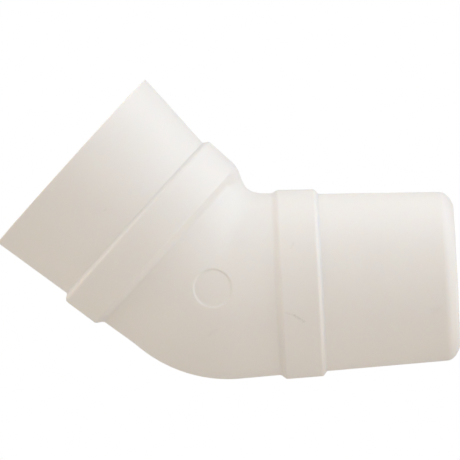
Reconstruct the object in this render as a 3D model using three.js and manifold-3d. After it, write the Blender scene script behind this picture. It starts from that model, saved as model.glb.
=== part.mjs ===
// A 45 degree PVC conduit elbow: a banded bend body, a flared hub sleeve with its seal ring,
// and a tapered spigot sleeve. Millimetres, +Z up.
//
// The elbow lies in the XZ plane. The spigot points along +X and the hub points up and back,
// 45 degrees above -X. Each arm is drawn along its own axis: "u" is the distance outward from
// the point where the two arm axes cross. The whole group is then moved so that the origin is
// the middle of the elbow's bounding box.

import * as THREE from "three";
import { mergeVertices } from "three/addons/utils/BufferGeometryUtils.js";
import Module from "manifold-3d";

const wasm = await Module();
wasm.setup();

// Fineness and fits.
const SEGMENTS = 64;
const ROUND_STEPS = 5;
const GAP = 0.3;
const OVERLAP = 0.5;

// The conduit that the hub takes and the spigot stands in for: 2-inch trade size.
const CONDUIT_RADIUS = 60.33 / 2;

// Bend.
const BEND_ANGLE = Math.PI / 4;
const BEND_RADIUS = 16.8;
const BEND_OUTER_RADIUS = 32.2;
const BORE_RADIUS = 26.6;

// Collar bands: as wide as each other, with a soft ramp on the bend side and an outer edge that
// rounds down to the sleeve.
const HUB_BAND_START = 20;
const SPIGOT_BAND_START = 22.1;
const BAND_LENGTH = 16.3;
const BAND_RAMP = 2.4;
const BAND_ROUND = 2.3;
const HUB_BAND_END = HUB_BAND_START + BAND_LENGTH;
const SPIGOT_BAND_END = SPIGOT_BAND_START + BAND_LENGTH;

// Body radii at the collars. Towards its outer edge the hub band opens and the spigot band
// closes, each by its draft to either side of its mean radius.
const HUB_NECK_RADIUS = 34.2;
const HUB_BAND_RADIUS = 37.3;
const HUB_BAND_DRAFT = 0.3;
const SPIGOT_NECK_RADIUS = 31.6;
const SPIGOT_BAND_RADIUS = 33;
const SPIGOT_BAND_DRAFT = -0.2;

// Hub sleeve: bonded into the hub collar, flared towards the rim.
const HUB_END = 66.5;
const HUB_ROOT_RADIUS = 35.5;
const HUB_RIM_RADIUS = 38.6;
const HUB_WALL = 4.7;
const HUB_LEAD_IN = 0.8;

// Conduit seat and seal raceway inside the hub collar.
const STOP_FACE = 17.5;
const SEAT_CLEARANCE = 0.5;
const RACEWAY_START = 23.5;
const RACEWAY_RADIUS = 33.9;
const SEAL_WIDTH = 6;
const SEAL_HEEL = 1.8;
const SEAL_SQUEEZE = 0.7;
const LIP_THICKNESS = 0.9;

// Spigot sleeve: bonded into the spigot collar, tapered towards a rounded tip.
const SPIGOT_END = 85.7;
const SPIGOT_ROOT_RADIUS = 31.1;
const SPIGOT_TIP_RADIUS = 29.6;
const SPIGOT_SOCKET_START = 29.5;
const SPIGOT_SOCKET_RADIUS = 29.5;
const SPIGOT_TIP_BORE = 24;

// The tip's rounded edge: the first part of a quarter ellipse, cut off by the flat end ring.
const TIP_ROUND_LENGTH = 5.5;
const TIP_ROUND_DEPTH = 9.6;
const TIP_ROUND_TURN = Math.PI / 3;

// Round witness mark: a shallow step in the side of the bend that faces -Y.
const MARK_RADIUS = 6.8;
const MARK_DEPTH = 0.4;

const white = (name, roughness) =>
  new THREE.MeshStandardMaterial({ name, color: 0xece6dd, roughness, metalness: 0 });
const bodyPlastic = white("body_pvc", 0.42);
const sleevePlastic = white("sleeve_pvc", 0.38);
const sealRubber = new THREE.MeshStandardMaterial({
  name: "seal_rubber",
  color: 0x2b2b2d,
  roughness: 0.75,
  metalness: 0,
});

// ---- Solids ----------------------------------------------------------------------------------

// A closed, vertex-merged copy of a geometry as a manifold solid.
function solidOf(geometry) {
  const bare = geometry.clone();
  bare.deleteAttribute("normal");
  bare.deleteAttribute("uv");
  const merged = mergeVertices(bare, 1e-4);
  const index = Array.from(merged.index.array);
  const triangles = [];
  for (let i = 0; i < index.length; i += 3) {
    const [a, b, c] = index.slice(i, i + 3);
    if (a !== b && b !== c && c !== a) triangles.push(a, b, c);
  }
  const mesh = new wasm.Mesh({
    numProp: 3,
    vertProperties: new Float32Array(merged.attributes.position.array),
    triVerts: new Uint32Array(triangles),
  });
  return new wasm.Manifold(mesh);
}

// A manifold solid as a geometry for a mesh.
function geometryOf(solid) {
  const { vertProperties, triVerts } = solid.getMesh();
  const geometry = new THREE.BufferGeometry();
  geometry.setAttribute("position", new THREE.BufferAttribute(vertProperties, 3));
  geometry.setIndex(new THREE.BufferAttribute(triVerts, 1));
  geometry.computeVertexNormals();
  return geometry;
}

// A full turn of [radius, u] points about +Z. The outline runs up the outside and down the
// inside; it is closed back to its first point unless both its ends lie on the axis.
function turned(outline) {
  const points = outline.map(([radius, u]) => new THREE.Vector2(radius, u));
  if (outline[0][0] > 0) points.push(points[0].clone());
  return new THREE.LatheGeometry(points, SEGMENTS).rotateX(Math.PI / 2);
}

// Points on an arc of an ellipse, this long along the axis and this deep towards it. The arc
// leaves its first point along the axis, and after a quarter turn it is square to the axis.
function roundedEdge([radius, start], length, depth, turn = Math.PI / 2) {
  return Array.from({ length: ROUND_STEPS + 1 }, (_, step) => {
    const angle = (step / ROUND_STEPS) * turn;
    return [radius - depth * (1 - Math.cos(angle)), start + length * Math.sin(angle)];
  });
}

// ---- Arms and bend ---------------------------------------------------------------------------

// Turns from arm coordinates, +Z outward, into the elbow.
const spigotTurn = new THREE.Matrix4().makeRotationY(Math.PI / 2);
const hubTurn = new THREE.Matrix4().makeRotationY(-BEND_ANGLE);

// The axis that the bend turns about, on the inside of the corner.
const INSIDE_HALF_ANGLE = (Math.PI - BEND_ANGLE) / 2;
const TANGENT_LENGTH = BEND_RADIUS / Math.tan(INSIDE_HALF_ANGLE);
const bendCentre = new THREE.Vector3(TANGENT_LENGTH, 0, BEND_RADIUS);

// The outer sweep of the bend for a tube of this radius: a D section turned about the bend
// axis, kept only between the two planes where the straight arms take over.
function bendSweep(radius) {
  const start = Math.acos(-BEND_RADIUS / radius);
  const steps = SEGMENTS / 2;
  const section = Array.from({ length: steps + 1 }, (_, step) => {
    const angle = start * ((2 * step) / steps - 1);
    return new THREE.Vector2(BEND_RADIUS + radius * Math.cos(angle), radius * Math.sin(angle));
  });
  section[0].x = 0;
  section[steps].x = 0;
  const sweep = new THREE.LatheGeometry(section, SEGMENTS);

  const reach = 2 * (BEND_RADIUS + radius);
  const wedge = new THREE.Shape([
    new THREE.Vector2(0, 0),
    new THREE.Vector2(-reach * Math.sin(BEND_ANGLE), -reach * Math.cos(BEND_ANGLE)),
    new THREE.Vector2(0, -reach),
  ]);
  const slab = new THREE.ExtrudeGeometry(wedge, { depth: 2 * reach, bevelEnabled: false });
  slab.translate(0, 0, -reach).rotateX(Math.PI / 2);
  return solidOf(sweep).intersect(solidOf(slab)).translate(bendCentre.toArray());
}

// A bent solid bar: one outline turned along each arm, joined by the bend's outer sweep.
function bentBar(hubOutline, spigotOutline, radius) {
  const hub = solidOf(turned(hubOutline).applyMatrix4(hubTurn));
  const spigot = solidOf(turned(spigotOutline).applyMatrix4(spigotTurn));
  return hub.add(spigot).add(bendSweep(radius));
}

// ---- Elbow body ------------------------------------------------------------------------------

const hubCollar = {
  start: HUB_BAND_START,
  neck: HUB_NECK_RADIUS,
  band: HUB_BAND_RADIUS,
  draft: HUB_BAND_DRAFT,
  sleeve: HUB_ROOT_RADIUS,
};
const spigotCollar = {
  start: SPIGOT_BAND_START,
  neck: SPIGOT_NECK_RADIUS,
  band: SPIGOT_BAND_RADIUS,
  draft: SPIGOT_BAND_DRAFT,
  sleeve: SPIGOT_ROOT_RADIUS,
};

// Outside of one arm of the body: a neck that leads into a raised collar band, whose outer edge
// rounds down to the radius of the sleeve. A positive draft makes the band wider outward.
function collarOutline({ start, neck, band, draft, sleeve }, shrink) {
  const bendEnd = TANGENT_LENGTH - OVERLAP;
  const bandEnd = start + BAND_LENGTH;
  const outerEdge = band + draft;
  const roundStart = [outerEdge - shrink, bandEnd - BAND_ROUND];
  return [
    [0, bendEnd],
    [BEND_OUTER_RADIUS - shrink, bendEnd],
    [neck - shrink, start],
    [band - draft - shrink, start + BAND_RAMP],
    ...roundedEdge(roundStart, BAND_ROUND, outerEdge - sleeve),
    [0, bandEnd],
  ];
}

// The outside of the whole body, moved inward by "shrink".
function bodyEnvelope(shrink) {
  return bentBar(
    collarOutline(hubCollar, shrink),
    collarOutline(spigotCollar, shrink),
    BEND_OUTER_RADIUS - shrink,
  );
}

// The wire way with the conduit seat and raceway at the hub, and the sleeve socket at the spigot.
function wireWay() {
  const start = TANGENT_LENGTH - OVERLAP;
  const seatRadius = CONDUIT_RADIUS + SEAT_CLEARANCE;
  const hub = [
    [0, start],
    [BORE_RADIUS, start],
    [BORE_RADIUS, STOP_FACE],
    [seatRadius, STOP_FACE],
    [seatRadius, RACEWAY_START],
    [RACEWAY_RADIUS, RACEWAY_START],
    [RACEWAY_RADIUS, HUB_BAND_END + OVERLAP],
    [0, HUB_BAND_END + OVERLAP],
  ];
  const spigot = [
    [0, start],
    [BORE_RADIUS, start],
    [BORE_RADIUS, SPIGOT_SOCKET_START],
    [SPIGOT_SOCKET_RADIUS, SPIGOT_SOCKET_START],
    [SPIGOT_SOCKET_RADIUS, SPIGOT_BAND_END + OVERLAP],
    [0, SPIGOT_BAND_END + OVERLAP],
  ];
  return bentBar(hub, spigot, BORE_RADIUS);
}

// What the witness mark takes away: a round plug down to the mark's depth under the surface.
function witnessMark() {
  const plug = new THREE.CylinderGeometry(MARK_RADIUS, MARK_RADIUS, BEND_OUTER_RADIUS, SEGMENTS / 2);
  plug.translate(0, -BEND_OUTER_RADIUS, 0);
  return solidOf(plug).subtract(bodyEnvelope(MARK_DEPTH));
}

function elbowBody() {
  const solid = bodyEnvelope(0).subtract(wireWay()).subtract(witnessMark());
  return geometryOf(solid);
}

// ---- Sleeves and seal ------------------------------------------------------------------------

// Each sleeve seats with a shoulder against the end of its collar.
function hubSleeve() {
  const shoulder = HUB_BAND_END + GAP;
  const rootStart = RACEWAY_START + SEAL_WIDTH + 3 * GAP;
  const rootOuter = RACEWAY_RADIUS - GAP;
  const bore = HUB_ROOT_RADIUS - HUB_WALL;
  const mouth = HUB_RIM_RADIUS - HUB_WALL;
  return turned([
    [bore, rootStart],
    [rootOuter, rootStart],
    [rootOuter, shoulder],
    [HUB_ROOT_RADIUS, shoulder],
    [HUB_RIM_RADIUS, HUB_END],
    [mouth + HUB_LEAD_IN, HUB_END],
    [mouth, HUB_END - HUB_LEAD_IN],
  ]);
}

// A lip ring: its heel fills the raceway and its lip leans in and down towards the bend, so
// that conduit pushed in from the rim slides over it.
function sealRing() {
  const start = RACEWAY_START + GAP;
  const end = start + SEAL_WIDTH;
  const outer = RACEWAY_RADIUS - GAP;
  const heel = outer - SEAL_HEEL;
  const lip = CONDUIT_RADIUS - SEAL_SQUEEZE;
  return turned([
    [heel, start],
    [outer, start],
    [outer, end],
    [heel - LIP_THICKNESS / 2, end],
    [lip, start + 2 * LIP_THICKNESS],
    [lip + LIP_THICKNESS / 2, start + LIP_THICKNESS],
    [heel, start + SEAL_WIDTH / 2],
  ]);
}

function spigotSleeve() {
  const shoulder = SPIGOT_BAND_END + GAP;
  const rootStart = SPIGOT_SOCKET_START + GAP;
  const rootOuter = SPIGOT_SOCKET_RADIUS - GAP;
  const roundStart = [
    SPIGOT_TIP_RADIUS,
    SPIGOT_END - TIP_ROUND_LENGTH * Math.sin(TIP_ROUND_TURN),
  ];
  return turned([
    [BORE_RADIUS, rootStart],
    [rootOuter, rootStart],
    [rootOuter, shoulder],
    [SPIGOT_ROOT_RADIUS, shoulder],
    ...roundedEdge(roundStart, TIP_ROUND_LENGTH, TIP_ROUND_DEPTH, TIP_ROUND_TURN),
    [SPIGOT_TIP_BORE, SPIGOT_END],
  ]);
}

// ---- Assembly --------------------------------------------------------------------------------

function piece(name, geometry, material) {
  const mesh = new THREE.Mesh(geometry, material);
  mesh.name = name;
  return mesh;
}

const hubArm = new THREE.Group();
hubArm.applyMatrix4(hubTurn);
hubArm.add(piece("hub_sleeve", hubSleeve(), sleevePlastic));
hubArm.add(piece("seal_ring", sealRing(), sealRubber));

const spigotArm = new THREE.Group();
spigotArm.applyMatrix4(spigotTurn);
spigotArm.add(piece("spigot_sleeve", spigotSleeve(), sleevePlastic));

const elbow = new THREE.Group();
elbow.add(piece("elbow_body", elbowBody(), bodyPlastic), hubArm, spigotArm);

const middle = new THREE.Box3().setFromObject(elbow, true).getCenter(new THREE.Vector3());
elbow.position.copy(middle.negate());
elbow.updateMatrixWorld(true);

export default elbow;
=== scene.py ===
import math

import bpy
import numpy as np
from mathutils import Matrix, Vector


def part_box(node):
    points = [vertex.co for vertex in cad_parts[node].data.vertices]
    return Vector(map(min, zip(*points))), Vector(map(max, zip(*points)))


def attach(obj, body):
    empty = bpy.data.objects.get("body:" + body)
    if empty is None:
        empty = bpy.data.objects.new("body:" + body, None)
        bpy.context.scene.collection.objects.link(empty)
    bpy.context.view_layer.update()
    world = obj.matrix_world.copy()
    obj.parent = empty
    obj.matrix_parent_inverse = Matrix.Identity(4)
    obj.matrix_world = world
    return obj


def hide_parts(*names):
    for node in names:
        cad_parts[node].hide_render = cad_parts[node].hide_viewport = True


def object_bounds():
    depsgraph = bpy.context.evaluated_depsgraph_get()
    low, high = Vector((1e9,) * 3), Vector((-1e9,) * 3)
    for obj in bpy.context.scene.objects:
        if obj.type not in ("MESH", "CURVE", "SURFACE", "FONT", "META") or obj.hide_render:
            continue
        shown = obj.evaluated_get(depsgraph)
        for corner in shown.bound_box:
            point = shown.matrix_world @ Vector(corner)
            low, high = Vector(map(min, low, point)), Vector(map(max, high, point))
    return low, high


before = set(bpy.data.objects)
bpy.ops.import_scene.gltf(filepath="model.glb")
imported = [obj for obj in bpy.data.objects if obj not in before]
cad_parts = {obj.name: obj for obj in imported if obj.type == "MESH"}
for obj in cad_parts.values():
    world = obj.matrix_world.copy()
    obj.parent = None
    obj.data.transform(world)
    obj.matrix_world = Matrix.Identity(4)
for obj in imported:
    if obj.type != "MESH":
        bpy.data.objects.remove(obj)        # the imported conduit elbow, as a fixed frame
cad_low, cad_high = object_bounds()

# Looks for a 45 degree PVC conduit elbow: a banded bend body, a flared hub sleeve with its lip
# seal, and a tapered spigot sleeve. Shapes are worked out in millimetres about the point where
# the two arm axes cross, then moved into the frame. Along an arm, "u" is the distance outward
# from that crossing; round an arm, "theta" is 0 on the outer side of the bend, 180 degrees in the
# crotch and -90 degrees on the side that faces the camera.

MM = 0.001

# ---- Driving dimensions, in millimetres ----------------------------------------------------------

# Lengths, bores and sleeves are the frame's. The bands' edges and the mark are finer than there.
BEND_ANGLE = math.radians(45)
BEND_RADIUS = 16.8
BEND_OUTER_RADIUS = 32.2
BORE_RADIUS = 26.6

# The collar bands: a ramp on the bend side, and an outer edge that rounds down to the sleeve.
HUB_BAND_START = 20.0
SPIGOT_BAND_START = 22.1
BAND_LENGTH = 16.3
BAND_RAMP = 2.6
BAND_ROUND = 2.4
FOOT = 0.37
FOOT_LENGTH = 0.5

# The spigot sleeve, and its socket in the body.
SPIGOT_END = 85.7
SPIGOT_SOCKET_START = 29.5
SPIGOT_SOCKET_RADIUS = 29.5
SPIGOT_TIP_RADIUS = 29.6
SPIGOT_TIP_BORE = 24.0
TIP_ROUND_LENGTH = 5.5
TIP_ROUND_DEPTH = 9.6
TIP_ROUND_TURN = math.radians(60)

# The hub sleeve, and the conduit's seat and the seal's raceway in the body.
HUB_END = 66.5
HUB_ROOT_RADIUS = 35.5
HUB_WALL = 4.7
HUB_LEAD_IN = 0.8
CONDUIT_RADIUS = 30.17
SEAT_RADIUS = 30.67
STOP_FACE = 17.5
RACEWAY_START = 23.5
RACEWAY_RADIUS = 33.9

# The lip seal: a heel and a crown in the raceway, and a lip that leans into the conduit's path.
SEAL_WIDTH = 6.0
SEAL_HEEL = 1.8
SEAL_CROWN = 2.3
SEAL_LIP_SETBACK = 1.8
SEAL_LIP_ROOT = 0.9
SEAL_LIP_THICKNESS = 0.45
SEAL_SQUEEZE = 0.7

# Room left between the pieces.
JOINT_FIT = 0.02
SLEEVE_STOP_GAP = 0.3
SEAL_END_FIT = 0.15
SEAL_ROUND_FIT = 0.1
SEAL_SLEEVE_GAP = 0.75

# The round mark, a little up and right of the crossing, with a soft edge round its radius.
MARK_RADIUS = 6.65
MARK_DEPTH = 0.45
MARK_SHIFT = (0.45, 0.45)
MARK_EDGE_INSIDE = 0.5
MARK_EDGE_OUTSIDE = 0.3

# What the frame gives: the rim and root radii and the place where the arm axes cross.
spigot_low, spigot_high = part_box("spigot_sleeve")
hub_low, hub_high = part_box("hub_sleeve")
SPIGOT_ROOT_RADIUS = (spigot_high.y - spigot_low.y) / 2 / MM
HUB_RIM_RADIUS = (hub_high.y - hub_low.y) / 2 / MM
CROSSING = Vector((spigot_high.x - SPIGOT_END * MM, 0, (spigot_low.z + spigot_high.z) / 2))

# ---- Radii of the body along its arms -----------------------------------------------------------

# A neck and a band each have a radius and a slope. A neck's radius is taken at the crossing, and a
# band's at BAND_DATUM.
BAND_DATUM = 24.0
HUB_NECK_RADIUS = 31.95
HUB_NECK_SLOPE = 0.108
HUB_BAND_RADIUS = 37.15
HUB_BAND_SLOPE = 0.094
SPIGOT_NECK_RADIUS = 32.6
SPIGOT_NECK_SLOPE = -0.043
SPIGOT_BAND_RADIUS = 33.2
SPIGOT_BAND_SLOPE = -0.03

# How far ahead of its band a ramp starts, and how far past BAND_RAMP it ends.
HUB_RAMP_LEAD = 0.3
SPIGOT_RAMP_LEAD = 0.1
SPIGOT_RAMP_TRAIL = 0.1
RAMP_POWER = 1.2

# How the outer side and the crotch differ from the rest of the way round.
HUB_BAND_OUTER_DROP = 0.4
HUB_BAND_CROTCH_RISE = 0.25
HUB_CROTCH_LEAD = 6.8
HUB_CROTCH_TRAIL = 1.4
HUB_CROTCH_EDGE = 0.88
SPIGOT_CROTCH_FULLNESS = 0.5


def ease(value, low, high):
    """0 below low, 1 above high, and a smooth S between them."""
    t = np.clip((value - low) / (high - low), 0, 1)
    return t * t * (3 - 2 * t)


def band_ramp(u, start, end):
    """The step up to a band: it leaves the neck slowly and meets the band more sharply."""
    return ease(u, start, end) ** RAMP_POWER


def hub_radius(u, theta):
    """The hub side of the body opens outward, and its band opens on the outer side only. In the
    crotch there is no neck: the band comes down in one long slope."""
    outer = (1 + np.cos(theta)) / 2
    crotch = ease(-np.cos(theta), HUB_CROTCH_EDGE, 1.0)
    neck = HUB_NECK_RADIUS + HUB_NECK_SLOPE * u
    band = HUB_BAND_RADIUS + HUB_BAND_CROTCH_RISE * crotch
    band = band + outer * (HUB_BAND_SLOPE * (u - BAND_DATUM) - HUB_BAND_OUTER_DROP)
    start = HUB_BAND_START - HUB_RAMP_LEAD - HUB_CROTCH_LEAD * crotch
    end = HUB_BAND_START + BAND_RAMP + HUB_CROTCH_TRAIL * crotch
    return neck + band_ramp(u, start, end) * (band - neck)


def spigot_radius(u, theta):
    """The spigot side of the body closes slightly outward, a little fuller in the crotch."""
    crotch = (1 - np.cos(theta)) / 2
    neck = SPIGOT_NECK_RADIUS + SPIGOT_NECK_SLOPE * u + SPIGOT_CROTCH_FULLNESS * crotch ** 2
    band = SPIGOT_BAND_RADIUS + SPIGOT_BAND_SLOPE * (u - BAND_DATUM)
    start = SPIGOT_BAND_START - SPIGOT_RAMP_LEAD
    end = SPIGOT_BAND_START + BAND_RAMP + SPIGOT_RAMP_TRAIL
    return neck + band_ramp(u, start, end) * (band - neck)


def bore_radius(u, theta):
    """The bore is as wide everywhere; the sum gives the answer the shape of u."""
    return BORE_RADIUS + 0 * u


# ---- Arms, bend and the smooth field of the body ------------------------------------------------

ACROSS = np.array([0.0, 1.0, 0.0])


class Arm:
    """One arm's axis, the side of it on the outside of the bend, and its radius. An outside arm
    also has a band that starts at band_start and ends on a sleeve of radius "sleeve"."""

    def __init__(self, axis, outer, radius, band_start=0.0, sleeve=0.0):
        self.axis = np.array(axis)
        self.outer = np.array(outer)
        self.radius = radius
        self.band_start = band_start
        self.band_end = band_start + BAND_LENGTH
        self.sleeve = sleeve

    def coordinates(self, points):
        u = points @ self.axis
        side = points @ self.outer
        across = points[..., 1]
        return u, np.hypot(side, across), np.arctan2(across, side)


COSINE = math.cos(BEND_ANGLE)
SINE = math.sin(BEND_ANGLE)
SPIGOT_AXES = ((1, 0, 0), (0, 0, -1))
HUB_AXES = ((-COSINE, 0, SINE), (-SINE, 0, -COSINE))
spigot_arm = Arm(*SPIGOT_AXES, spigot_radius, SPIGOT_BAND_START, SPIGOT_ROOT_RADIUS)
hub_arm = Arm(*HUB_AXES, hub_radius, HUB_BAND_START, HUB_ROOT_RADIUS)
spigot_bore = Arm(*SPIGOT_AXES, bore_radius)
hub_bore = Arm(*HUB_AXES, bore_radius)

TANGENT_LENGTH = BEND_RADIUS * math.tan(BEND_ANGLE / 2)
BEND_CENTRE = np.array([TANGENT_LENGTH, 0, BEND_RADIUS])

# The crotch's fillet: its full width, how fast it grows with the distance from the bend's own
# axis, and the width that stands for none.
CROTCH_BLEND = 3.4
BLEND_GROWTH = 0.22
NO_BLEND = 1e-6


def smooth_min(a, b, width):
    """The smaller of a and b, rounded off where they differ by less than width."""
    mix = np.clip(0.5 + 0.5 * (b - a) / width, 0, 1)
    return b + (a - b) * mix - width * mix * (1 - mix)


def body_gap(points, spigot, hub):
    """How far points lie outside two arms joined by the sweep of the bend. The crotch, where the
    arms meet past the bend's own axis, is filleted; the fillet fades out where the crease ends."""
    u_s, r_s, theta_s = spigot.coordinates(points)
    u_h, r_h, theta_h = hub.coordinates(points)
    gap_s = r_s - spigot.radius(u_s, theta_s)
    gap_h = r_h - hub.radius(u_h, theta_h)

    from_centre = points - BEND_CENTRE
    rho = np.hypot(from_centre[..., 0], from_centre[..., 2])
    turn = np.arctan2(-from_centre[..., 0], -from_centre[..., 2]) / BEND_ANGLE
    theta = np.arctan2(points[..., 1], rho - BEND_RADIUS)
    start = spigot.radius(TANGENT_LENGTH, theta)
    end = hub.radius(TANGENT_LENGTH, theta)
    gap_bend = np.hypot(rho - BEND_RADIUS, points[..., 1]) - (start + (end - start) * turn)

    on_s = u_s >= TANGENT_LENGTH
    on_h = u_h >= TANGENT_LENGTH
    blend = np.clip(BLEND_GROWTH * rho, NO_BLEND, CROTCH_BLEND)
    crotch = smooth_min(gap_s, gap_h, blend)
    one_arm = np.where(on_s, gap_s, gap_h)
    return np.where(on_s & on_h, crotch, np.where(on_s | on_h, one_arm, gap_bend))


# Offsets to the corners and faces of a cube, on a unit sphere: softened_gap() averages over them.
CORNERS = np.array([(x, y, z) for x in (-1, 1) for y in (-1, 1) for z in (-1, 1)]) / math.sqrt(3)
FACES = np.concatenate([np.eye(3), -np.eye(3)])
SOFTENING_OFFSETS = np.concatenate([CORNERS, FACES])


def softened_gap(points, spigot, hub, reach):
    """body_gap() averaged over a small ball, which turns its creases into soft moulded ones."""
    total = body_gap(points, spigot, hub)
    if reach == 0:
        return total
    for offset in SOFTENING_OFFSETS:
        total = total + body_gap(points + reach * offset, spigot, hub)
    return total / (1 + len(SOFTENING_OFFSETS))


# ---- Rings: the cross-sections that every surface is made of -------------------------------------

FINE_STEPS = 4001


def crowded(count, low, high, centre, half_width, ratio):
    """Values from low to high, packed "ratio" times closer within half_width of centre."""
    fine = np.linspace(low, high, FINE_STEPS)
    density = 1 + (ratio - 1) * np.exp(-(((fine - centre) / half_width) ** 4))
    total = np.concatenate([[0], np.cumsum((density[1:] + density[:-1]) / 2)])
    return np.interp(np.linspace(0, total[-1], count), total, fine)


# Round the body, columns crowd towards the round mark on the near side.
COLUMNS = 360
NEAR_SIDE = -math.pi / 2
MARK_SPREAD = math.radians(16)
THETA = crowded(
    COLUMNS + 1, NEAR_SIDE - math.pi, NEAR_SIDE + math.pi,
    centre=NEAR_SIDE, half_width=MARK_SPREAD, ratio=4,
)[:-1]


def spokes_round(outer):
    """One direction for each theta, in the plane of the outer direction and the Y axis."""
    return np.cos(THETA)[:, None] * outer + np.sin(THETA)[:, None] * ACROSS


def arm_ring(arm, u, radius):
    radii = np.broadcast_to(radius, THETA.shape)
    return u * arm.axis + radii[:, None] * spokes_round(arm.outer)


# Between the straight parts, cross-sections fan about an axis that lies just outside the crotch.
FAN_RADIUS = 47.0
FAN_MARGIN = 0.5
FAN_START = FAN_RADIUS * math.tan(BEND_ANGLE / 2)
FAN_CENTRE = np.array([FAN_START, 0, FAN_RADIUS])
FAN_SPREAD = math.radians(12)
SOFTENING = 2.6
SOFTENING_FADE = 0.15 * BEND_ANGLE
LONGEST_SPOKE = 1.5 * BEND_OUTER_RADIUS
LEAST_COSINE = 0.01
HALVINGS = 22


def section(centre, outer, spigot, hub, reach=0.0):
    """The body's outline in one cross-section plane, found along each spoke by halving. Towards
    the crotch, spokes stop short of the axis that the sections fan about."""
    spokes = spokes_round(outer)
    near = np.full(THETA.shape, BORE_RADIUS / 2)
    towards_crotch = np.clip(-np.cos(THETA), LEAST_COSINE, 1)
    far = np.minimum(LONGEST_SPOKE, (FAN_RADIUS - FAN_MARGIN) / towards_crotch)
    for _ in range(HALVINGS):
        middle = (near + far) / 2
        inside = softened_gap(centre + middle[:, None] * spokes, spigot, hub, reach) < 0
        near = np.where(inside, middle, near)
        far = np.where(inside, far, middle)
    return centre + near[:, None] * spokes


def fan_ring(turn, spigot, hub):
    """The section by one plane of the fan. The softening fades out towards both ends of the fan,
    where the straight arms take over."""
    outer = np.array([-math.sin(turn), 0, -math.cos(turn)])
    reach = SOFTENING * ease(min(turn, BEND_ANGLE - turn), 0, SOFTENING_FADE)
    return section(FAN_CENTRE + FAN_RADIUS * outer, outer, spigot, hub, reach)


def fan_rings(count, spigot, hub):
    turns = crowded(count, 0, BEND_ANGLE, centre=BEND_ANGLE / 2, half_width=FAN_SPREAD, ratio=2.5)
    return [fan_ring(turn, spigot, hub) for turn in turns]


def ledge_fall(arm, u):
    """How far a band's outer edge has come down to its sleeve, from 0 to 1: slowly at first, then
    steeply, and last in a small hollow foot."""
    return ease(u, arm.band_end - BAND_ROUND, arm.band_end + FOOT_LENGTH) ** 3


# How many rings each stretch of a band has; those of the ramp go on for RAMP_MARGIN past it.
RAMP_RINGS = 30
RAMP_MARGIN = 0.2
BAND_RINGS = 14
LEDGE_RINGS = 14


def band_rings(arm):
    """One arm's outside from the fan to the collar's end, just above the foot on the sleeve."""
    ramp_end = arm.band_start + BAND_RAMP + RAMP_MARGIN
    round_start = arm.band_end - BAND_ROUND
    over_ramp = np.linspace(FAN_START, ramp_end, RAMP_RINGS + 1)[1:]
    over_band = np.linspace(ramp_end, round_start, BAND_RINGS + 1)[1:]
    stations = [*over_ramp, *over_band]
    rings = [section(u * arm.axis, arm.outer, spigot_arm, hub_arm) for u in stations]
    edge = arm.radius(round_start, THETA)
    foot = arm.sleeve + FOOT
    for u in np.linspace(round_start, arm.band_end, LEDGE_RINGS + 1)[1:]:
        fall = ledge_fall(arm, u) / ledge_fall(arm, arm.band_end)
        rings.append(arm_ring(arm, u, edge + fall * (foot - edge)))
    return rings


def outline_rings(arm, outline):
    return [arm_ring(arm, u, radius) for radius, u in outline]


ROUND_STEPS = 4
UNDER_HALF = 1 / 2.01


def rounded(corners):
    """An outline through (radius, u, corner round) points, each corner turned by a small arc. The
    first and the last point only give the directions in which the outline starts and ends."""
    points = []
    for before, corner, after in zip(corners, corners[1:], corners[2:]):
        here = np.array(corner[:2], float)
        back = np.array(before[:2]) - here
        ahead = np.array(after[:2]) - here
        back_length = np.linalg.norm(back)
        ahead_length = np.linalg.norm(ahead)
        reach = min(corner[2], UNDER_HALF * back_length, UNDER_HALF * ahead_length)
        start = here + reach * back / back_length
        stop = here + reach * ahead / ahead_length
        if reach == 0:
            points.append(here)
            continue
        for t in np.linspace(0, 1, ROUND_STEPS + 1):
            points.append((1 - t) ** 2 * start + 2 * t * (1 - t) * here + t * t * stop)
    return points


def rounded_loop(corners):
    """The same for an outline that closes on itself."""
    return rounded([corners[-1], *corners, corners[0]])


# ---- Meshes --------------------------------------------------------------------------------------

SHARP_ANGLE = math.radians(30)


def mesh_piece(name, rings, node, material):
    """Rings joined into one closed skin, as a smooth piece that stands for a node."""
    grid = np.array(rings) * MM + np.array(CROSSING)
    rows, columns = grid.shape[:2]
    row = np.arange(rows)[:, None]
    column = np.arange(columns)[None, :]
    next_row = (row + 1) % rows
    next_column = (column + 1) % columns
    quads = np.stack([
        row * columns + column,
        row * columns + next_column,
        next_row * columns + next_column,
        next_row * columns + column,
    ], axis=-1).reshape(-1, 4)
    mesh = bpy.data.meshes.new(name)
    mesh.from_pydata(grid.reshape(-1, 3).tolist(), [], quads.tolist())
    mesh.polygons.foreach_set("use_smooth", [True] * len(mesh.polygons))
    mesh.set_sharp_from_angle(angle=SHARP_ANGLE)
    mesh.materials.append(material)
    mesh.update()
    piece = bpy.data.objects.new(name, mesh)
    bpy.context.scene.collection.objects.link(piece)
    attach(piece, "root")
    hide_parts(node)


def press_mark(rings):
    """Sinks the shallow round mark into the near side."""
    pressed = []
    for points in rings:
        distance = np.hypot(points[:, 0] - MARK_SHIFT[0], points[:, 2] - MARK_SHIFT[1])
        beyond_edge = ease(distance, MARK_RADIUS - MARK_EDGE_INSIDE, MARK_RADIUS + MARK_EDGE_OUTSIDE)
        moved = points.copy()
        moved[:, 1] += np.where(points[:, 1] < 0, MARK_DEPTH * (1 - beyond_edge), 0)
        pressed.append(moved)
    return pressed


OUTSIDE_FAN_RINGS = 120
BORE_FAN_RINGS = 60


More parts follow.
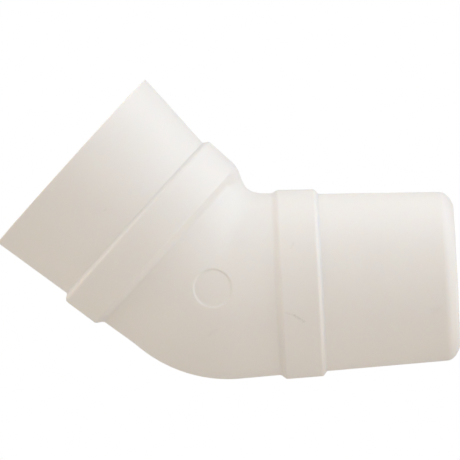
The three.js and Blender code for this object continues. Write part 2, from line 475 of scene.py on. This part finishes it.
def bend_body(material):
    outside = (band_rings(hub_arm)[::-1]
               + press_mark(fan_rings(OUTSIDE_FAN_RINGS, spigot_arm, hub_arm)[::-1])
               + band_rings(spigot_arm))
    spigot_inside = rounded([
        (SPIGOT_ROOT_RADIUS, spigot_arm.band_end, 0),
        (SPIGOT_SOCKET_RADIUS, spigot_arm.band_end, 0.2),
        (SPIGOT_SOCKET_RADIUS, SPIGOT_SOCKET_START, 0.2),
        (BORE_RADIUS, SPIGOT_SOCKET_START, 0.3),
        (BORE_RADIUS, FAN_START, 0),
    ])
    hub_inside = rounded([
        (BORE_RADIUS, FAN_START, 0),
        (BORE_RADIUS, STOP_FACE, 0.4),
        (SEAT_RADIUS, STOP_FACE, 0.3),
        (SEAT_RADIUS, RACEWAY_START, 0.2),
        (RACEWAY_RADIUS, RACEWAY_START, 0.3),
        (RACEWAY_RADIUS, hub_arm.band_end, 0.2),
        (HUB_ROOT_RADIUS, hub_arm.band_end, 0),
    ])
    inside = (outline_rings(spigot_arm, spigot_inside)
              + fan_rings(BORE_FAN_RINGS, spigot_bore, hub_bore)
              + outline_rings(hub_arm, hub_inside))
    mesh_piece("bend_body", outside + inside, "elbow_body", material)


FOOT_STEPS = 6
TIP_STEPS = 16


def foot_round(arm):
    """The hollow round at the foot of a sleeve, which carries on from the ledge of its collar."""
    start_height = 1 - ledge_fall(arm, arm.band_end)
    return [
        (arm.sleeve + FOOT * (1 - ledge_fall(arm, u)) / start_height, u, 0)
        for u in np.linspace(arm.band_end, arm.band_end + FOOT_LENGTH, FOOT_STEPS + 1)
    ]


def tip_round():
    """The large round at the spigot's end: an arc of an ellipse, as far as the flat ring."""
    start = SPIGOT_END - TIP_ROUND_LENGTH * math.sin(TIP_ROUND_TURN)
    return [
        (SPIGOT_TIP_RADIUS - TIP_ROUND_DEPTH * (1 - math.cos(angle)),
         start + TIP_ROUND_LENGTH * math.sin(angle), 0)
        for angle in np.linspace(0, TIP_ROUND_TURN, TIP_STEPS + 1)
    ]


def hub_sleeve(material):
    bore = HUB_ROOT_RADIUS - HUB_WALL
    mouth = HUB_RIM_RADIUS - HUB_WALL
    root_start = RACEWAY_START + SEAL_END_FIT + SEAL_WIDTH + SEAL_SLEEVE_GAP
    outline = rounded_loop([
        (bore, root_start, 0.5),
        (RACEWAY_RADIUS - JOINT_FIT, root_start, 0.3),
        (RACEWAY_RADIUS - JOINT_FIT, hub_arm.band_end, 0),
        *foot_round(hub_arm),
        (HUB_RIM_RADIUS, HUB_END, 0.3),
        (mouth + HUB_LEAD_IN, HUB_END, 0.25),
        (mouth, HUB_END - HUB_LEAD_IN, 0.4),
    ])
    rings = outline_rings(hub_arm, outline)
    mesh_piece("bell_mouth", rings, "hub_sleeve", material)


def spigot_sleeve(material):
    root_start = SPIGOT_SOCKET_START + SLEEVE_STOP_GAP
    outline = rounded_loop([
        (BORE_RADIUS, root_start, 0.4),
        (SPIGOT_SOCKET_RADIUS - JOINT_FIT, root_start, 0.3),
        (SPIGOT_SOCKET_RADIUS - JOINT_FIT, spigot_arm.band_end, 0),
        *foot_round(spigot_arm),
        *tip_round(),
        (SPIGOT_TIP_BORE, SPIGOT_END, 0.2),
    ])
    rings = outline_rings(spigot_arm, outline)
    mesh_piece("spigot_tail", rings, "spigot_sleeve", material)


def lip_seal(material):
    start = RACEWAY_START + SEAL_END_FIT
    end = start + SEAL_WIDTH
    outer = RACEWAY_RADIUS - SEAL_ROUND_FIT
    lip = CONDUIT_RADIUS - SEAL_SQUEEZE
    outline = rounded_loop([
        (outer - SEAL_HEEL, start, 0.2),
        (outer, start, 0.3),
        (outer, end, 0.3),
        (outer - SEAL_CROWN, end, 0.4),
        (lip, start + SEAL_LIP_SETBACK, 0.4),
        (lip + SEAL_LIP_THICKNESS, start + SEAL_LIP_ROOT, 0.25),
        (outer - SEAL_HEEL, start + SEAL_WIDTH / 2, 0.4),
    ])
    rings = outline_rings(hub_arm, outline)
    mesh_piece("lip_seal", rings, "seal_ring", material)


# ---- Materials -----------------------------------------------------------------------------------

def beside_spigot(u, height):
    """The point this many millimetres out along the spigot's axis and above it."""
    return CROSSING + Vector((u, 0, height)) * MM


class Nodes:
    """A small helper that adds and links shader nodes."""

    def __init__(self, name):
        self.material = bpy.data.materials.new(name)
        self.material.use_nodes = True
        self.tree = self.material.node_tree
        self.shader = self.tree.nodes["Principled BSDF"]
        self.place = self.add("ShaderNodeTexCoord").outputs["Object"]

    def put(self, value, socket):
        """Links the socket to value if that is a node's output, or else sets it to value."""
        if isinstance(value, bpy.types.NodeSocket):
            self.tree.links.new(value, socket)
        else:
            socket.default_value = value

    def add(self, kind, inputs=None, **settings):
        node = self.tree.nodes.new(kind)
        for key, value in settings.items():
            setattr(node, key, value)
        for key, value in (inputs or {}).items():
            self.put(value, node.inputs[key])
        return node

    def noise(self, scale, detail=2.0, roughness=0.5):
        inputs = {"Vector": self.place, "Scale": scale, "Detail": detail, "Roughness": roughness}
        return self.add("ShaderNodeTexNoise", inputs).outputs["Fac"]

    def remap(self, value, come_from, go_to):
        """A smooth step: the range come_from becomes the range go_to, and nothing leaves it."""
        inputs = {"Value": value, "From Min": come_from[0], "From Max": come_from[1],
                  "To Min": go_to[0], "To Max": go_to[1]}
        return self.add("ShaderNodeMapRange", inputs, interpolation_type="SMOOTHSTEP").outputs["Result"]

    def math(self, operation, a, b):
        return self.add("ShaderNodeMath", {0: a, 1: b}, operation=operation).outputs[0]

    def vector(self, operation, a, b):
        return self.add("ShaderNodeVectorMath", {0: a, 1: b}, operation=operation).outputs

    def mix(self, factor, a, b):
        """Colour a where factor is 0 and colour b where it is 1."""
        node = self.add("ShaderNodeMix", {"Factor": factor}, data_type="RGBA")
        self.put(a, node.inputs[6])
        self.put(b, node.inputs[7])
        return node.outputs[2]

    def stroke(self, start, end, half_width):
        """A mask of a short ragged line on the near side, seen square to the plane of the bend."""
        run = end - start
        flat = self.vector("MULTIPLY", self.place, (1, 0, 1))["Vector"]
        offset = self.vector("SUBTRACT", flat, start)["Vector"]
        ahead = self.vector("DOT_PRODUCT", offset, run)["Value"]
        share = self.add("ShaderNodeClamp", {"Value": self.math("DIVIDE", ahead, run.length_squared)})
        nearest = self.vector("MULTIPLY", share.outputs["Result"], run)["Vector"]
        gap = self.vector("DISTANCE", offset, nearest)["Value"]
        raggedness = 0.4 * half_width
        ragged = self.remap(self.noise(scale=2500.0), (0.3, 0.7), (-raggedness, raggedness))
        line = self.remap(self.math("ADD", gap, ragged), (0.0, half_width), (1.0, 0.0))
        across = self.add("ShaderNodeSeparateXYZ", {"Vector": self.place}).outputs["Y"]
        return self.math("MULTIPLY", line, self.math("LESS_THAN", across, 0.0))

    def bump(self, height, distance, below=None):
        inputs = {"Height": height, "Distance": distance, "Strength": 1.0}
        if below is not None:
            inputs["Normal"] = below
        return self.add("ShaderNodeBump", inputs).outputs["Normal"]

    def surface(self, **inputs):
        """Gives the shader its inputs, by their names with _ for a space."""
        for key, value in inputs.items():
            self.put(value, self.shader.inputs[key.replace("_", " ")])


PVC_SHADE = (0.862, 0.819, 0.771, 1)
PVC_TINT = (0.878, 0.834, 0.786, 1)
PVC_SCATTER = (1.0, 0.8, 0.55)
PVC_SCATTER_DEPTH = 0.6 * MM
PVC_PEEL_HEIGHT = 0.02 * MM
PVC_WAVE_HEIGHT = 0.10 * MM
GRIME = (0.45, 0.40, 0.33, 1)
SPECK_STRENGTH = 0.35

# Wear on the near side: strokes from and to a point, each given as its distance out along the
# spigot's axis and its height above it, then the stroke's half width and its strength.
BODY_WEAR = (
    ((25.2, -9.4), (28.3, -10.5), 0.50, 0.10),
    ((28.3, -10.5), (31.6, -12.8), 0.65, 0.22),
    ((28.4, 12.9), (29.2, 14.6), 0.65, 0.09),
    ((-1.8, -16.0), (1.2, -14.0), 0.80, 0.05),
)
SLEEVE_WEAR = (
    ((76.5, -11.2), (78.4, -10.8), 1.80, 0.06),
    ((-35.6, 29.4), (-35.2, 29.8), 0.50, 0.12),
)


def pvc(name, wear):
    """Creamy moulded PVC: a slightly waxy skin with faint flow tone, orange peel, a few specks and
    strokes of wear."""
    nodes = Nodes(name)
    flow = nodes.noise(scale=18.0, detail=3.0, roughness=0.55)
    tone = nodes.mix(nodes.remap(flow, (0.35, 0.65), (0.0, 1.0)), PVC_SHADE, PVC_TINT)
    specks = nodes.noise(scale=800.0, detail=1.0)
    tone = nodes.mix(nodes.remap(specks, (0.84, 0.88), (0.0, SPECK_STRENGTH)), tone, GRIME)
    for start, end, half_width, strength in wear:
        stroke = nodes.stroke(beside_spigot(*start), beside_spigot(*end), half_width * MM)
        tone = nodes.mix(nodes.math("MULTIPLY", stroke, strength), tone, GRIME)
    satin = nodes.noise(scale=60.0, detail=4.0, roughness=0.6)
    peel = nodes.bump(nodes.noise(scale=700.0), PVC_PEEL_HEIGHT)
    waves = nodes.bump(nodes.noise(scale=90.0, detail=1.0), PVC_WAVE_HEIGHT, peel)
    nodes.surface(
        Base_Color=tone,
        Roughness=nodes.remap(satin, (0.3, 0.7), (0.36, 0.46)),
        Normal=waves,
        IOR=1.5,
        Subsurface_Weight=0.5,
        Subsurface_Radius=PVC_SCATTER,
        Subsurface_Scale=PVC_SCATTER_DEPTH,
    )
    return nodes.material


RUBBER_BLACK = (0.018, 0.018, 0.02, 1)
RUBBER_BLOOM = (0.05, 0.05, 0.052, 1)
RUBBER_GRAIN_HEIGHT = 0.03 * MM


def rubber(name):
    """Black elastomer with a fine matte grain and a faint grey bloom."""
    nodes = Nodes(name)
    bloom = nodes.remap(nodes.noise(scale=120.0, detail=4.0, roughness=0.6), (0.4, 0.7), (0.0, 1.0))
    nodes.surface(
        Base_Color=nodes.mix(bloom, RUBBER_BLACK, RUBBER_BLOOM),
        Roughness=nodes.remap(bloom, (0.0, 1.0), (0.55, 0.75)),
        Normal=nodes.bump(nodes.noise(scale=2500.0), RUBBER_GRAIN_HEIGHT),
    )
    return nodes.material


# ---- Studio --------------------------------------------------------------------------------------

# The light round the elbow: a dim warm tent and soft boxes. A light has a strength and a warmth,
# which is 0 for a neutral light, more for a yellower one and less for a bluer one. A box also has
# the direction that it stands in (X right, Y away from the camera, Z up).
TENT_LIGHT = (0.52, 0.07)
SOFT_BOXES = (
    ((-1, 0, 1), 1.30, -0.04),
    ((1, 0, 1), 1.40, -0.17),
    ((1, -1, 0), 0.75, -0.10),
    ((1, 0, -1), 0.34, 0.20),
    ((-1, 0, 0), 0.46, 0.20),
)
BOX_SHARPNESS = 6
RED_PER_WARMTH = 0.8


def light_colour(strength, warmth):
    return strength * Vector((1 + RED_PER_WARMTH * warmth, 1, 1 - warmth))


def studio_world():
    """A soft tent of light with soft boxes, which the camera sees as plain white."""
    world = bpy.data.worlds.new("studio")
    bpy.context.scene.world = world
    world.use_nodes = True
    tree = world.node_tree
    tree.nodes.clear()

    def add(kind, *inputs, **settings):
        node = tree.nodes.new(kind)
        for key, value in settings.items():
            setattr(node, key, value)
        for socket, value in zip(node.inputs, inputs):
            if isinstance(value, bpy.types.NodeSocket):
                tree.links.new(value, socket)
            else:
                socket.default_value = value
        return node.outputs

    direction = add("ShaderNodeTexCoord")["Generated"]
    light = light_colour(*TENT_LIGHT)
    for stand, strength, warmth in SOFT_BOXES:
        towards = Vector(stand).normalized()
        colour = light_colour(strength, warmth)
        facing = add("ShaderNodeVectorMath", direction, towards, operation="DOT_PRODUCT")["Value"]
        lit_side = add("ShaderNodeMath", facing, 0.0, operation="MAXIMUM")[0]
        spread = add("ShaderNodeMath", lit_side, BOX_SHARPNESS, operation="POWER")[0]
        light = add("ShaderNodeVectorMath", spread, colour, light, operation="MULTIPLY_ADD")["Vector"]
    tent = add("ShaderNodeBackground", light, 1.0)[0]
    white = add("ShaderNodeBackground", (1, 1, 1, 1), 1.0)[0]
    from_camera = add("ShaderNodeLightPath")["Is Camera Ray"]
    surface = add("ShaderNodeMixShader", from_camera, tent, white)[0]
    add("ShaderNodeOutputWorld", surface)


FLOOR_HALF = 4.0
FLOOR_DROP = 0.5 * MM


def floor_white():
    """Plain white from above, and clear to a camera that looks up from under the floor."""
    material = bpy.data.materials.new("floor_white")
    material.use_nodes = True
    tree = material.node_tree
    tree.nodes.clear()
    from_below = tree.nodes.new("ShaderNodeNewGeometry").outputs["Backfacing"]
    white = tree.nodes.new("ShaderNodeEmission").outputs[0]
    clear = tree.nodes.new("ShaderNodeBsdfTransparent").outputs[0]
    surface = tree.nodes.new("ShaderNodeMixShader")
    for source, socket in zip((from_below, white, clear), surface.inputs):
        tree.links.new(source, socket)
    output = tree.nodes.new("ShaderNodeOutputMaterial")
    tree.links.new(surface.outputs[0], output.inputs["Surface"])
    return material


def studio_floor():
    """A plain pale floor just under the elbow. Only the camera sees it, so that the tent lights
    the elbow from below as well."""
    low = cad_low.z - FLOOR_DROP
    corners = [(x * FLOOR_HALF, y * FLOOR_HALF, low) for x, y in ((-1, -1), (1, -1), (1, 1), (-1, 1))]
    mesh = bpy.data.meshes.new("studio_floor")
    mesh.from_pydata(corners, [], [(0, 1, 2, 3)])
    mesh.materials.append(floor_white())
    floor = bpy.data.objects.new("studio_floor", mesh)
    bpy.context.scene.collection.objects.link(floor)
    floor.visible_diffuse = False
    floor.visible_glossy = False
    floor.visible_transmission = False
    floor.visible_shadow = False


# The camera: a long lens, level with the elbow, rolled so that the spigot rises to the right.
VIEW_WIDTH = 161.28 * MM
VIEW_DISTANCE = 3506 * MM
VIEW_PITCH = math.radians(0.55)
VIEW_YAW = math.radians(-0.47)
VIEW_ROLL = math.radians(-2.92)
VIEW_SHIFT = Vector((-6.2, 0, -20.35)) * MM
SENSOR_WIDTH = 36


def photo_camera():
    data = bpy.data.cameras.new("camera")
    data.sensor_width = SENSOR_WIDTH
    data.lens = SENSOR_WIDTH * VIEW_DISTANCE / VIEW_WIDTH
    data.clip_start = 0.1
    data.clip_end = 20
    camera = bpy.data.objects.new("camera", data)
    bpy.context.scene.collection.objects.link(camera)
    turn = (Matrix.Rotation(VIEW_ROLL, 3, "Y") @ Matrix.Rotation(VIEW_PITCH, 3, "X")
            @ Matrix.Rotation(VIEW_YAW, 3, "Z"))
    back = turn.transposed()
    place = CROSSING + back @ (Vector((0, -VIEW_DISTANCE, 0)) - VIEW_SHIFT)
    right, ahead, up = back.col
    axes = Matrix((right, up, -ahead)).transposed()
    camera.matrix_world = Matrix.Translation(place) @ axes.to_4x4()
    bpy.context.scene.camera = camera


# ---- Assembly ------------------------------------------------------------------------------------

bend_body(pvc("body_pvc_look", BODY_WEAR))
sleeve_plastic = pvc("sleeve_pvc_look", SLEEVE_WEAR)
hub_sleeve(sleeve_plastic)
spigot_sleeve(sleeve_plastic)
lip_seal(rubber("seal_rubber_look"))

studio_world()
studio_floor()
photo_camera()
bpy.context.scene.view_settings.view_transform = "Standard"
